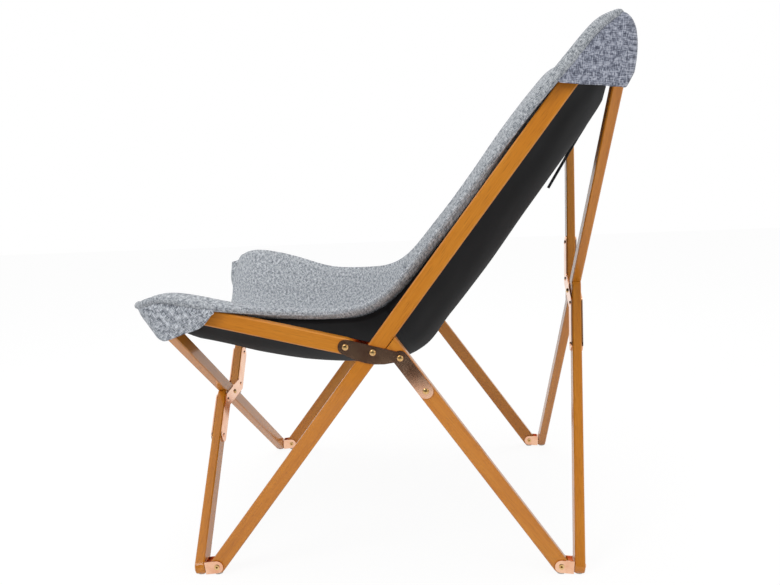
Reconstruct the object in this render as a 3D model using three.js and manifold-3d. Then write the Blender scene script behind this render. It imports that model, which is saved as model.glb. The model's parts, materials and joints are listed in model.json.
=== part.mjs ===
// Folding butterfly chair: wooden sticks in two sides and two crosses, copper hardware, padded sling
// Millimetres, +Z up, the chair faces -Y, origin on the floor midway between the foot pins
import * as THREE from "three";
import { mergeVertices } from "three/addons/utils/BufferGeometryUtils.js";
import Module from "manifold-3d";

const wasm = await Module();
wasm.setup();

// Driving dimensions of the frame
const sidePlane = 361;              // middle of each side's sticks from the middle of the chair
const footPin = { y: 324, z: 16.5 };
const rearTopPin = { y: 387, z: 936.5 };
const longPivotShare = 0.446;       // where the long stick's pivot sits between its two pins
const sideRivetPitch = 50.6;        // rail pivot to long pivot, and long pivot to leg rivet
const sideRivetTilt = 12.9;         // degrees that this row of rivets rises towards the front
const legRivetPitch = 76;
const railLength = 320;             // rail pivot to front top pin
const railRise = 13.44;             // degrees
const longTipLength = 41;           // long stick above its top pin, which the rear pocket rests on
const footReach = 24;               // foot pin to the near face of the cross stick
const rearTopReach = 44;
const frontTopReach = 34;
const halfOffset = 33;              // centre line of a half stick from the crossing rivet

// Wood
const stickWidth = 30;
const stickThickness = 19;
const easedEdge = 2;
const gapShown = 1;                 // open gap that is seen at butts and webs
const fit = 0.3;                    // clearance between touching pieces

// Hardware
const plateThickness = 2.5;
const plateWidth = 28;
const leafBellyShare = 2.2;         // depth of the side plate's belly, as a share of half its width
const crossInnerRivet = 46;         // rivets of the cross plate along each half stick
const crossOuterRivet = 141;
const cheekHeight = 24;
const cheekThickness = 2.5;
const webThickness = 2.5;
const pinRadius = 4;
const pinBore = 2;
const pinFlangeRadius = 5;
const pinFlangeThickness = 1;
const studRadius = 4;
const rivetRadius = 3.5;
const headRadius = 5.6;
const headHeight = 2.4;
const headSunk = 0.6;               // part of a fixed head that is set into its plate
const headTopShare = 0.62;
const glideRadius = 7.5;
const glideHeight = 4;
const roundSteps = 14;
const endSteps = 5;

// Sling
const slingClear = 33;              // from the side plane in to the upper edge of the cover
const slingHalfWidth = sidePlane - slingClear;
const bowlPower = 2;                // how the cover hangs between its edges
const coverThickness = 15;
const liningThickness = 2.4;
const liningGap = 0.8;
const liningInsetShare = 0.03;
const coverColumns = 16;
const coverRows = 24;
const pocketWall = 6;
const pocketSide = 14;              // from the stick's outer face out to the pocket's
const pocketLap = 6;                // lap of a pocket over the cover's edge
const pocketOutside = sidePlane + stickThickness / 2 + pocketSide;
const pocketInside = slingHalfWidth - pocketLap;
const pocketSlack = 3;              // room between a pocket and the cross stick's end
const pocketSoftEdge = 3;
const strap = { halfShare: 0.04, from: 0.8, to: 0.86, thickness: 2.4, rows: 4 };
// Upper surface of the cover, front to top, at its side edge and along its middle. A station goes along the
// rail or the long stick from its pivot and square above it, as shares of the stick's length from that pivot.
const edgeShares = {
  railShares: [[1.295, -0.018], [1.125, 0.087], [0.763, 0.116], [0.431, 0.138], [0.151, 0.179]],
  longShares: [[0.078, 0.105], [0.151, 0.079], [0.326, 0.074], [0.542, 0.081], [0.759, 0.087], [0.95, 0.073],
    [1.066, 0.035], [1.123, -0.003]],
};
const middleShares = {
  railShares: [[1.037, -0.309], [0.867, -0.323], [0.602, -0.327], [0.306, -0.315], [-0.004, -0.268]],
  longShares: [[-0.068, -0.084], [0.014, -0.117], [0.143, -0.134], [0.33, -0.137], [0.552, -0.132],
    [0.765, -0.129], [0.919, -0.122], [0.98, -0.115]],
};
// Side outline of the pockets, from the stick's tip along and above it, as shares of the stick's width
const frontPocketShares = {
  topShares: [[2.49, -0.41], [2.36, 0.31], [1.4, 0.88], [0.51, 1.06], [-0.69, 0.9], [-2.24, 0.86]],
  hemShares: [[-1.69, -0.71], [-0.71, -1.32], [0.5, -2.02]],
};
const rearPocketShares = {
  topShares: [[-3.48, 1.19], [-2.33, 1.32], [-1.17, 1.25], [-0.17, 0.93], [0.85, 0.49], [1.52, 0],
    [1.57, -0.53], [1.42, -1.01], [1.12, -1.28], [0.43, -1.64]],
  hemShares: [[-2.05, -2.73], [-3.86, 0.47]],
};

// Places in the side plane, as (y, z)
const place = (y, z) => new THREE.Vector2(y, z);
const heading = (degrees) => {
  const angle = THREE.MathUtils.degToRad(degrees);
  return place(Math.cos(angle), Math.sin(angle));
};
const along = (from, direction, distance) => from.clone().addScaledVector(direction, distance);
const across = (direction) => place(-direction.y, direction.x);
const frontFoot = place(-footPin.y, footPin.z);
const rearFoot = place(footPin.y, footPin.z);
const rearTop = place(rearTopPin.y, rearTopPin.z);
const longPivot = frontFoot.clone().lerp(rearTop, longPivotShare);
const railPivot = along(longPivot, heading(180 - sideRivetTilt), sideRivetPitch);
const legRivet = along(longPivot, heading(-sideRivetTilt), sideRivetPitch);
const legWay = rearFoot.clone().sub(legRivet).normalize();
const lowerLegRivet = along(legRivet, legWay, legRivetPitch);
const railWay = heading(180 - railRise);
const frontTop = along(railPivot, railWay, railLength);
const longWay = rearTop.clone().sub(frontFoot).normalize();
const longTip = along(rearTop, longWay, longTipLength);

// Frames that a flat shape is drawn in: two drawing axes and the direction of its thickness
const frameOf = (origin, right, up) => {
  const matrix = new THREE.Matrix4().makeBasis(right, up, right.clone().cross(up));
  return matrix.setPosition(origin);
};
const xWay = new THREE.Vector3(1, 0, 0);
const yWay = new THREE.Vector3(0, 1, 0);
const zWay = new THREE.Vector3(0, 0, 1);
const sideFrame = (x) => frameOf(new THREE.Vector3(x, 0, 0), yWay, zWay);

// A cross lies in a plane along X that stands outboard of its pins: +1 behind the rear, -1 ahead of the front
const crossOf = (foot, top, topReach, outward) => {
  const chord = top.clone().sub(foot);
  const lean = Math.asin((topReach - footReach) / chord.length());
  const angle = chord.angle() - outward * lean;
  const up = place(Math.cos(angle), Math.sin(angle));
  const out = place(up.y, -up.x).multiplyScalar(outward);
  const middle = along(foot, out, footReach + stickThickness / 2);
  const height = chord.length() * Math.cos(lean);
  const frame = frameOf(new THREE.Vector3(0, middle.x, middle.y), xWay, new THREE.Vector3(0, up.x, up.y));
  return { frame, up, out, outward, height, foot, top, topReach };
};
const rearCross = crossOf(rearFoot, rearTop, rearTopReach, 1);
const frontCross = crossOf(frontFoot, frontTop, frontTopReach, -1);

// Solids: booleans run on merged, position-only copies
const solidOf = (geometry) => {
  const plain = new THREE.BufferGeometry();
  plain.setAttribute("position", geometry.getAttribute("position"));
  plain.setIndex(geometry.getIndex());
  const merged = mergeVertices(plain, 1e-4);
  const vertProperties = Float32Array.from(merged.getAttribute("position").array);
  const triVerts = Uint32Array.from(merged.getIndex().array);
  return new wasm.Manifold(new wasm.Mesh({ numProp: 3, vertProperties, triVerts }));
};
const geometryOf = (solid) => {
  const mesh = solid.getMesh();
  const geometry = new THREE.BufferGeometry();
  geometry.setAttribute("position", new THREE.BufferAttribute(Float32Array.from(mesh.vertProperties), 3));
  geometry.setIndex(new THREE.BufferAttribute(Uint32Array.from(mesh.triVerts), 1));
  const flat = geometry.toNonIndexed();
  flat.computeVertexNormals();
  return flat;
};
const joined = (solids) => solids.reduce((whole, solid) => whole.add(solid));
const drilled = (solid, tools) => tools.reduce((left, tool) => left.subtract(tool), solid);

// Flat shape to solid, centred on the frame's plane unless it is shifted along the thickness
const slab = (shape, thickness, frame, shift = 0, edge = 0) => {
  const geometry = new THREE.ExtrudeGeometry(shape, {
    depth: thickness - 2 * edge,
    bevelEnabled: edge > 0,
    bevelThickness: edge,
    bevelSize: edge,
    bevelOffset: -edge,
    bevelSegments: 1,
    curveSegments: endSteps,
  });
  geometry.translate(0, 0, shift + edge - thickness / 2);
  geometry.applyMatrix4(frame);
  return solidOf(geometry);
};

// Bar of one width between two places, round about each place or cut square there
const barShape = (from, to, width, roundFrom = true, roundTo = true) => {
  const way = to.clone().sub(from).normalize();
  const angle = way.angle();
  const radius = width / 2;
  const side = across(way).multiplyScalar(radius);
  const shape = new THREE.Shape();
  const start = from.clone().sub(side);
  shape.moveTo(start.x, start.y);
  shape.lineTo(to.x - side.x, to.y - side.y);
  if (roundTo) {
    shape.absarc(to.x, to.y, radius, angle - Math.PI / 2, angle + Math.PI / 2, false);
  } else {
    shape.lineTo(to.x + side.x, to.y + side.y);
  }
  if (roundFrom) {
    shape.absarc(from.x, from.y, radius, angle + Math.PI / 2, angle + Math.PI * 1.5, false);
  } else {
    shape.lineTo(from.x + side.x, from.y + side.y);
  }
  return shape;
};
// Bar of one width along a bent path, walked out along one side and back along the other
const bentShape = (path, width) => {
  const radius = width / 2;
  const walk = [...path, ...path.slice(1, -1).reverse()];
  const shape = new THREE.Shape();
  walk.forEach((corner, i) => {
    const before = walk[(i + walk.length - 1) % walk.length];
    const after = walk[(i + 1) % walk.length];
    const arrive = corner.clone().sub(before).angle();
    const leave = after.clone().sub(corner).angle();
    const turn = THREE.MathUtils.euclideanModulo(leave - arrive, 2 * Math.PI);
    const start = place(radius, 0).rotateAround(place(0, 0), arrive - Math.PI / 2);
    if (turn < Math.PI * 1.01) {
      if (i === 0) shape.moveTo(corner.x + start.x, corner.y + start.y);
      else shape.lineTo(corner.x + start.x, corner.y + start.y);
      shape.absarc(corner.x, corner.y, radius, arrive - Math.PI / 2, arrive - Math.PI / 2 + turn, false);
    } else {
      const halfTurn = turn / 2 - Math.PI;
      const mitre = start.rotateAround(place(0, 0), halfTurn).divideScalar(Math.cos(halfTurn));
      shape.lineTo(corner.x + mitre.x, corner.y + mitre.y);
    }
  });
  return shape;
};
const shapeThrough = (places) => new THREE.Shape(places);

// Round bar along the thickness of a frame, from one level to another
const roundBar = (frame, at, radius, low, high, highRadius = radius) => {
  const geometry = new THREE.CylinderGeometry(highRadius, radius, high - low, roundSteps);
  geometry.rotateX(Math.PI / 2);
  geometry.translate(at.x, at.y, (low + high) / 2);
  geometry.applyMatrix4(frame);
  return solidOf(geometry);
};

// Rivet head that stands on a level and points along the frame's thickness (+1) or against it (-1)
const headOn = (frame, at, level, sense) => {
  const topRadius = headRadius * headTopShare;
  if (sense > 0) return roundBar(frame, at, headRadius, level, level + headHeight, topRadius);
  return roundBar(frame, at, topRadius, level - headHeight, level, headRadius);
};

const half = stickThickness / 2;
const plateLevel = half + fit + plateThickness / 2;
const plateOutside = half + fit + plateThickness;

// Part list: one mesh for each piece
const chair = new THREE.Group();
chair.name = "butterfly_chair";
const wood = { color: 0xd08a35, roughness: 0.45, metalness: 0 };
const copper = { color: 0xe2a98c, roughness: 0.25, metalness: 1 };
const brass = { color: 0xc9a44c, roughness: 0.3, metalness: 1 };
const glideGray = { color: 0xd6d6d2, roughness: 0.6, metalness: 0 };
const grayCloth = { color: 0x9aa0a8, roughness: 0.95, metalness: 0 };
const darkCloth = { color: 0x1e2023, roughness: 0.9, metalness: 0 };
const addPart = (name, look, solid) => {
  const mesh = new THREE.Mesh(geometryOf(solid), new THREE.MeshStandardMaterial(look));
  mesh.name = name;
  chair.add(mesh);
};

// Floor cut that gives a stick end its flat above the glide
const reach = 4 * sidePlane;
const floorBlock = () => {
  const geometry = new THREE.BoxGeometry(reach, reach, reach);
  geometry.translate(0, 0, glideHeight - reach / 2);
  return solidOf(geometry);
};
const glideUnder = (x, y) => {
  const geometry = new THREE.CylinderGeometry(glideRadius, glideRadius, glideHeight - fit, roundSteps);
  geometry.rotateX(Math.PI / 2);
  geometry.translate(x, y, (glideHeight - fit) / 2);
  return solidOf(geometry);
};

// Side sticks: long stick, rear leg and rail with the holes of their pins and rivets
const sideStick = (shape, x, holes) => {
  const frame = sideFrame(x);
  const bores = holes.map(([at, radius]) => {
    return roundBar(frame, at, radius + fit, -stickThickness, stickThickness);
  });
  return drilled(slab(shape, stickThickness, frame, 0, easedEdge), bores);
};
const longBand = (x) => {
  const width = stickWidth + 2 * gapShown;
  return slab(barShape(frontFoot, rearTop, width), reach, sideFrame(x));
};
const legHeadShift = longWay.cross(longPivot.clone().sub(legRivet)) / longWay.cross(legWay);
const legHead = along(legRivet, legWay, legHeadShift);
const legShape = barShape(rearFoot, legHead, stickWidth, true, false);

// Side plates: a leaf round the rail pivot that runs into an arm down the leg
const sidePlateShape = () => {
  const radius = plateWidth / 2;
  const side = across(legWay).multiplyScalar(radius);
  const upper = legRivet.clone().add(side);
  const lower = legRivet.clone().sub(side);
  const topWay = upper.clone().sub(railPivot).normalize();
  const startAngle = topWay.angle() + Math.PI / 2;
  const topStart = along(railPivot, across(topWay), radius);
  const belly = along(longPivot, heading(-90 - sideRivetTilt), radius * leafBellyShare);
  const shape = new THREE.Shape();
  shape.moveTo(upper.x, upper.y);
  shape.lineTo(topStart.x, topStart.y);
  shape.absarc(railPivot.x, railPivot.y, radius, startAngle, startAngle + Math.PI * 0.94, false);
  shape.quadraticCurveTo(belly.x, belly.y, lower.x, lower.y);
  return shape;
};
const fixedRivets = (frame, places, sense, start) => places.flatMap((at) => {
  const ends = [start, plateOutside + headHeight / 2].map((level) => sense * level).sort((a, b) => a - b);
  const head = headOn(frame, at, sense * (plateOutside - headSunk), sense);
  return [roundBar(frame, at, rivetRadius, ends[0], ends[1]), head];
});
const sidePlate = (x, sense, rivetStart) => {
  const frame = sideFrame(x);
  const level = sense * plateLevel;
  const leaf = slab(sidePlateShape(), plateThickness, frame, level);
  const arm = slab(barShape(legRivet, lowerLegRivet, plateWidth), plateThickness, frame, level);
  const bores = [railPivot, longPivot].map((at) => roundBar(frame, at, rivetRadius + fit, -reach, reach));
  const plate = drilled(joined([leaf, arm]), bores);
  return joined([plate, ...fixedRivets(frame, [legRivet, lowerLegRivet], sense, rivetStart)]);
};

// Rivet with a head on both sides of the plates
const throughRivet = (frame, at) => {
  const end = plateOutside + fit;
  const shankEnd = end + headHeight / 2;
  const shank = roundBar(frame, at, rivetRadius, -shankEnd, shankEnd);
  return joined([shank, headOn(frame, at, end, 1), headOn(frame, at, -end, -1)]);
};

for (const [side, sense] of [["near", 1], ["far", -1]]) {
  const x = sense * sidePlane;
  const longShape = barShape(frontFoot, longTip, stickWidth);
  const longHoles = [[frontFoot, pinRadius], [longPivot, rivetRadius], [rearTop, pinRadius]];
  addPart(`long_stick_${side}`, wood, sideStick(longShape, x, longHoles).subtract(floorBlock()));
  const legHoles = [[rearFoot, pinRadius], [legRivet, rivetRadius], [lowerLegRivet, rivetRadius]];
  const leg = sideStick(legShape, x, legHoles).subtract(floorBlock());
  addPart(`rear_leg_${side}`, wood, leg.subtract(longBand(x)));
  const railShape = barShape(railPivot, frontTop, stickWidth);
  const railHoles = [[railPivot, rivetRadius], [frontTop, pinRadius]];
  addPart(`front_rail_${side}`, wood, sideStick(railShape, x, railHoles));
  addPart(`side_plate_outer_${side}`, copper, sidePlate(x, sense, -half));
  addPart(`side_plate_inner_${side}`, copper, sidePlate(x, -sense, plateLevel));
  addPart(`long_pivot_rivet_${side}`, brass, throughRivet(sideFrame(x), longPivot));
  addPart(`rail_pivot_rivet_${side}`, brass, throughRivet(sideFrame(x), railPivot));
}

// Crosses: a continuous stick, two halves that butt against it, and a bent plate on each face
const crossParts = (name, cross) => {
  const { frame, height } = cross;
  const nearFoot = place(sidePlane, 0);
  const farFoot = place(-sidePlane, 0);
  const nearTop = place(sidePlane, height);
  const farTop = place(-sidePlane, height);
  const centre = place(0, height / 2);
  const bore = (at, radius) => roundBar(frame, at, radius + fit, -stickThickness, stickThickness);
  const wholeShape = barShape(farFoot, nearTop, stickWidth);
  const whole = slab(wholeShape, stickThickness, frame, 0, easedEdge);
  const wholeBores = [bore(farFoot, studRadius), bore(nearTop, studRadius), bore(centre, rivetRadius)];
  addPart(`${name}_stick_whole`, wood, drilled(whole, wholeBores).subtract(floorBlock()));
  const band = slab(barShape(farFoot, nearTop, stickWidth + 2 * gapShown), stickThickness * 2, frame);
  const wholeWay = nearTop.clone().sub(farFoot).normalize();
  const halfLength = nearTop.distanceTo(centre);
  const turn = Math.asin(halfOffset / halfLength);
  const links = [];
  for (const [part, stud] of [["lower", nearFoot], ["upper", farTop]]) {
    const way = stud.clone().sub(centre).normalize().rotateAround(place(0, 0), -turn);
    const beside = along(stud, way, -Math.sqrt(halfLength ** 2 - halfOffset ** 2));
    const rivets = [crossInnerRivet, crossOuterRivet].map((distance) => along(beside, way, distance));
    links.push(rivets);
    const butt = along(beside, way, wholeWay.cross(centre.clone().sub(beside)) / wholeWay.cross(way));
    const shape = barShape(stud, butt, stickWidth, true, false);
    const bores = [bore(stud, studRadius), ...rivets.map((at) => bore(at, rivetRadius))];
    const stick = drilled(slab(shape, stickThickness, frame, 0, easedEdge), bores);
    addPart(`${name}_stick_${part}`, wood, stick.subtract(band).subtract(floorBlock()));
  }
  const [[lowerInner, lowerOuter], [upperInner, upperOuter]] = links;
  const plateShape = bentShape([lowerOuter, lowerInner, upperInner, upperOuter], plateWidth);
  for (const [face, sense] of [["rear", -1], ["front", 1]]) {
    const level = sense * plateLevel;
    const bent = slab(plateShape, plateThickness, frame, level)
      .subtract(roundBar(frame, centre, rivetRadius + fit, -reach, reach));
    const rivets = fixedRivets(frame, links.flat(), sense, sense > 0 ? -half : plateLevel);
    addPart(`${name}_plate_${face}`, copper, joined([bent, ...rivets]));
  }
  addPart(`${name}_crossing_rivet`, brass, throughRivet(frame, centre));
};
crossParts("rear_cross", rearCross);
crossParts("front_cross", frontCross);

// Clevis: web against the cross stick, two cheeks that straddle the side stick, hollow pin through both
const cheekLevel = half + fit + cheekThickness / 2;
const cheekOutside = half + fit + cheekThickness;
const clevisBody = (x, pin, out, reachOut) => {
  const frame = sideFrame(x);
  const webOutside = along(pin, out, reachOut - gapShown);
  const webInside = along(pin, out, reachOut - gapShown - webThickness);
  const cheekShape = barShape(pin, webOutside, cheekHeight, true, false);
  const webShape = barShape(webInside, webOutside, cheekHeight, false, false);
  const cheeks = [-1, 1].map((sense) => slab(cheekShape, cheekThickness, frame, sense * cheekLevel));
  const body = joined([...cheeks, slab(webShape, 2 * cheekOutside, frame)]);
  return body.subtract(roundBar(frame, pin, pinRadius + fit, -reach, reach));
};
const hollowPin = (x, pin) => {
  const end = cheekOutside + fit;
  const far = end + pinFlangeThickness;
  const profile = [
    [pinBore, -far], [pinFlangeRadius, -far], [pinFlangeRadius, -end], [pinRadius, -end],
    [pinRadius, end], [pinFlangeRadius, end], [pinFlangeRadius, far], [pinBore, far], [pinBore, -far],
  ].map(([radius, level]) => place(radius, level));
  const geometry = new THREE.LatheGeometry(profile, roundSteps);
  geometry.rotateX(Math.PI / 2);
  geometry.translate(pin.x, pin.y, 0);
  geometry.applyMatrix4(sideFrame(x));
  return solidOf(geometry);
};
// Swivel stud through the cross stick: levels run outward from the web's outer face
const studSolid = (cross, at, start) => {
  const sense = -cross.outward;
  const shankEnd = half + fit + headHeight / 2;
  const ends = [-half - gapShown + start, shankEnd].map((level) => sense * level).sort((a, b) => a - b);
  const shank = roundBar(cross.frame, at, studRadius, ends[0], ends[1]);
  return joined([shank, headOn(cross.frame, at, sense * (half + fit), sense)]);
};
const corners = [
  { name: "rear_foot", cross: rearCross, pin: rearFoot, reachOut: footReach, level: 0 },
  { name: "rear_top", cross: rearCross, pin: rearTop, reachOut: rearTopReach, level: rearCross.height },
  { name: "front_foot", cross: frontCross, pin: frontFoot, reachOut: footReach, level: 0 },
  { name: "front_top", cross: frontCross, pin: frontTop, reachOut: frontTopReach, level: frontCross.height },
];
const fixedStuds = ["rear_foot_near", "rear_foot_far", "front_top_near"];
for (const corner of corners) {
  for (const [side, sense] of [["near", 1], ["far", -1]]) {
    const name = `${corner.name}_${side}`;
    const x = sense * sidePlane;
    const at = place(x, corner.level);
    const body = clevisBody(x, corner.pin, corner.cross.out, corner.reachOut);
    const fixed = fixedStuds.includes(name);
    const clevis = fixed ? body.add(studSolid(corner.cross, at, -webThickness / 2)) : body;
    addPart(`clevis_${name}`, copper, clevis);
    addPart(`clevis_pin_${name}`, brass, hollowPin(x, corner.pin));
    if (!fixed) addPart(`swivel_stud_${name}`, copper, studSolid(corner.cross, at, fit));
  }
}

// Glides under the four side sticks and the four cross sticks
for (const [side, sense] of [["near", 1], ["far", -1]]) {
  const x = sense * sidePlane;
  for (const [end, cross] of [["rear", rearCross], ["front", frontCross]]) {
    const crossY = along(cross.foot, cross.out, footReach + half).x;
    addPart(`glide_side_${end}_${side}`, glideGray, glideUnder(x, cross.foot.x));
    addPart(`glide_cross_${end}_${side}`, glideGray, glideUnder(x, crossY));
  }
}

// Sling: the cover hangs as a bowl between its edges, and the lining lies under it
const railSpan = { way: railWay, up: across(railWay).negate() };
const longSpan = { way: longWay, up: across(longWay) };
const stationsOn = (span, from, unit, shares) => shares.map(([onward, above]) => {
  const at = along(along(from, span.way, onward * unit), span.up, above * unit);
  return new THREE.Vector3(0, at.x, at.y);
});
const curveOf = ({ railShares, longShares }) => {
  const overRail = stationsOn(railSpan, railPivot, railLength, railShares);
  const overLong = stationsOn(longSpan, longPivot, longPivot.distanceTo(rearTop), longShares);
  return new THREE.CatmullRomCurve3([...overRail, ...overLong], false, "centripetal");
};
const edgeCurve = curveOf(edgeShares);
const middleCurve = curveOf(middleShares);
const slingTop = (share, progress) => {
  const rise = Math.abs(share) ** bowlPower;
  const point = middleCurve.getPoint(progress).lerp(edgeCurve.getPoint(progress), rise);
  return point.setX(share * slingHalfWidth);
};
const slingAt = (share, progress, depth) => {
  const step = 1e-3;
  const inward = Math.min(Math.max(share, step - 1), 1 - step);
  const onward = Math.min(Math.max(progress, step), 1 - step);
  const right = slingTop(inward + step, onward).sub(slingTop(inward - step, onward));
  const back = slingTop(inward, onward + step).sub(slingTop(inward, onward - step));
  return slingTop(share, progress).addScaledVector(right.cross(back).normalize(), -depth);
};
// Closed sheet between two depths below the upper surface
const sheetSolid = (shallow, deep, shares, progresses) => {
  const columns = shares.length;
  const rows = progresses.length;
  const positions = [];
  for (const depth of [shallow, deep]) {
    for (const progress of progresses) {
      for (const share of shares) positions.push(...slingAt(share, progress, depth).toArray());
    }
  }
  const index = (layer, row, column) => (layer * rows + row) * columns + column;
  const triangles = [];
  const quad = (a, b, c, d) => triangles.push(a, b, c, a, c, d);
  for (let row = 0; row < rows - 1; row += 1) {
    for (let column = 0; column < columns - 1; column += 1) {
      quad(index(0, row, column), index(0, row, column + 1), index(0, row + 1, column + 1),
        index(0, row + 1, column));
      quad(index(1, row, column), index(1, row + 1, column), index(1, row + 1, column + 1),
        index(1, row, column + 1));
    }
    quad(index(0, row, 0), index(0, row + 1, 0), index(1, row + 1, 0), index(1, row, 0));
    quad(index(1, row, columns - 1), index(1, row + 1, columns - 1), index(0, row + 1, columns - 1),
      index(0, row, columns - 1));
  }
  for (let column = 0; column < columns - 1; column += 1) {
    quad(index(1, 0, column), index(1, 0, column + 1), index(0, 0, column + 1), index(0, 0, column));
    quad(index(0, rows - 1, column), index(0, rows - 1, column + 1), index(1, rows - 1, column + 1),
      index(1, rows - 1, column));
  }
  const geometry = new THREE.BufferGeometry();
  geometry.setAttribute("position", new THREE.Float32BufferAttribute(positions, 3));
  geometry.setIndex(triangles);
  return solidOf(geometry);
};
const spread = (from, to, steps) => {
  return Array.from({ length: steps + 1 }, (_, i) => from + (to - from) * i / steps);
};

// Pocket: a thick wall rests on the stick's tip and a thin one hangs outside it, open below and inboard
const lowest = frontFoot.y;
const roofShape = (root, tip) => {
  const way = tip.clone().sub(root).normalize();
  const outward = Math.sign(way.x);
  const radius = stickWidth / 2 + fit;
  const up = across(way).multiplyScalar(outward * radius);
  const endAngle = outward > 0 ? 0 : Math.PI;
  const shape = new THREE.Shape();
  shape.moveTo(root.x + up.x, lowest);
  shape.lineTo(root.x + up.x, root.y + up.y);
  shape.lineTo(tip.x + up.x, tip.y + up.y);
  shape.absarc(tip.x, tip.y, radius, up.angle(), endAngle, outward > 0);
  shape.lineTo(tip.x + outward * radius, lowest);
  return shape;
};
// Room for the bracket and the cross stick's end beyond the side stick
const roomShape = (cross, tip) => {
  const stud = along(cross.top, cross.out, cross.topReach + half);
  const end = along(cross.top, cross.out, cross.topReach + stickThickness + headHeight + pocketSlack);
  const roof = Math.max(stud.y, cross.top.y) + stickWidth / 2 + pocketSlack;
  return shapeThrough([place(tip.x, lowest), place(end.x, lowest), place(end.x, roof), place(tip.x, roof)]);
};
const pocketSolid = (pocket, sense) => {
  const { cross, root, tip, span, shares } = pocket;
  const frame = sideFrame(sense * (pocketOutside + pocketInside) / 2);
  const corners = stationsOn(span, tip, stickWidth, [...shares.topShares, ...shares.hemShares]);
  const outer = shapeThrough(corners.map((corner) => place(corner.y, corner.z)));
  const width = pocketOutside - pocketInside;
  const body = slab(outer, width, frame, 0, pocketSoftEdge);
  const hollows = [roofShape(root, tip), roomShape(cross, tip)];
  return drilled(body, hollows.map((shape) => slab(shape, width, frame, -sense * pocketWall)));
};
const pockets = [
  { cross: frontCross, root: railPivot, tip: frontTop, span: railSpan, shares: frontPocketShares },
  { cross: rearCross, root: longPivot, tip: longTip, span: longSpan, shares: rearPocketShares },
].flatMap((pocket) => [1, -1].map((sense) => pocketSolid(pocket, sense)));
const coverShares = spread(-1, 1, coverColumns);
const coverProgresses = spread(0, 1, coverRows);
const coverSheet = sheetSolid(0, coverThickness, coverShares, coverProgresses);
addPart("sling_cover", grayCloth, joined([coverSheet, ...pockets]));
const pulledIn = (stations) => {
  const inset = (stations[stations.length - 1] - stations[0]) * liningInsetShare;
  return [stations[0] + inset, ...stations.slice(1, -1), stations[stations.length - 1] - inset];
};
const liningTop = coverThickness + liningGap;
const liningBottom = liningTop + liningThickness;
const liningSheet = sheetSolid(liningTop, liningBottom, pulledIn(coverShares), pulledIn(coverProgresses));
addPart("sling_lining", darkCloth, liningSheet);

// Strap: a short tab sewn flat to the back of the lining
const strapTop = liningBottom + fit;
const strapSpan = [-strap.halfShare, 0, strap.halfShare];
addPart("sling_strap", grayCloth, sheetSolid(strapTop, strapTop + strap.thickness, strapSpan,
  spread(strap.from, strap.to, strap.rows)));

export default chair;
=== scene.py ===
import json
import math

import bpy
from mathutils import Matrix, Vector, noise

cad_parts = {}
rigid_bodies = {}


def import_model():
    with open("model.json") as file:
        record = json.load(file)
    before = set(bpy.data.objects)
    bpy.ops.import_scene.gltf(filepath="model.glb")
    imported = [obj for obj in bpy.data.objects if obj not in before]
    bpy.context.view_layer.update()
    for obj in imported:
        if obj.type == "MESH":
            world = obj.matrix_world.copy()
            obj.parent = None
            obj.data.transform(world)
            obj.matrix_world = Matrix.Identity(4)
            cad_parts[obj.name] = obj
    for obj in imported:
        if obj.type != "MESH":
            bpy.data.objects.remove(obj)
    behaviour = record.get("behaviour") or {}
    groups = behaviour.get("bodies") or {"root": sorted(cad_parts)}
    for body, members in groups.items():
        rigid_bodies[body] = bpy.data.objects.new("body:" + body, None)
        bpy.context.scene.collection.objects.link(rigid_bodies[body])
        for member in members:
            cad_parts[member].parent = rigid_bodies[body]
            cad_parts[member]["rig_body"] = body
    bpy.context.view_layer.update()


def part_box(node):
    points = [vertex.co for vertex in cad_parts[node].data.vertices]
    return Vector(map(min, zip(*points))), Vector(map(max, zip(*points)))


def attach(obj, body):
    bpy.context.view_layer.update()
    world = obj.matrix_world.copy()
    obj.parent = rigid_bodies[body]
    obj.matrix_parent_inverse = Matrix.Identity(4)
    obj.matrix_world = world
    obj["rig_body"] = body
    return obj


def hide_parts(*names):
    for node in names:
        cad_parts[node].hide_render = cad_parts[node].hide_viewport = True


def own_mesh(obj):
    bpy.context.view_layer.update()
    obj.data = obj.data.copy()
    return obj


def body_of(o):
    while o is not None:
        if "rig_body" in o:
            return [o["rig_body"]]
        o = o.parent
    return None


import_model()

# Camera and studio: the chair is seen nearly square on to its near side, from a little
# above the seat, against plain white. The floor is pale and matt and holds a soft shadow.
image_width_px = 780
focal_px = 837
sensor_width = 36.0
camera_place = Vector((1.8407, 0.1581, 0.7511))
camera_yaw = 0.0876
camera_pitch = 0.1453
camera_roll = -0.0427
nearest_seen = 0.05
floor_size = 14.0
floor_near_edge = 1.75
floor_glow = 1.04
floor_glow_share = 0.88
floor_gray = (0.86, 0.86, 0.86, 1)
background_white = (1.0, 1.0, 1.0, 1.0)
room_light = 0.62
mirror_fade = {"From Min": 0.05, "From Max": 0.6, "To Min": 1.0, "To Max": 0.06}
lamp_aim = Vector((0, 0, 0.5))
lamps = (
    ("key_light", (2.4, -1.7, 2.6), 1.6, 34),
    ("fill_light", (2.2, 2.2, 1.6), 1.8, 16),
    ("top_light", (-0.6, 0.0, 3.0), 2.2, 26),
)


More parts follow.
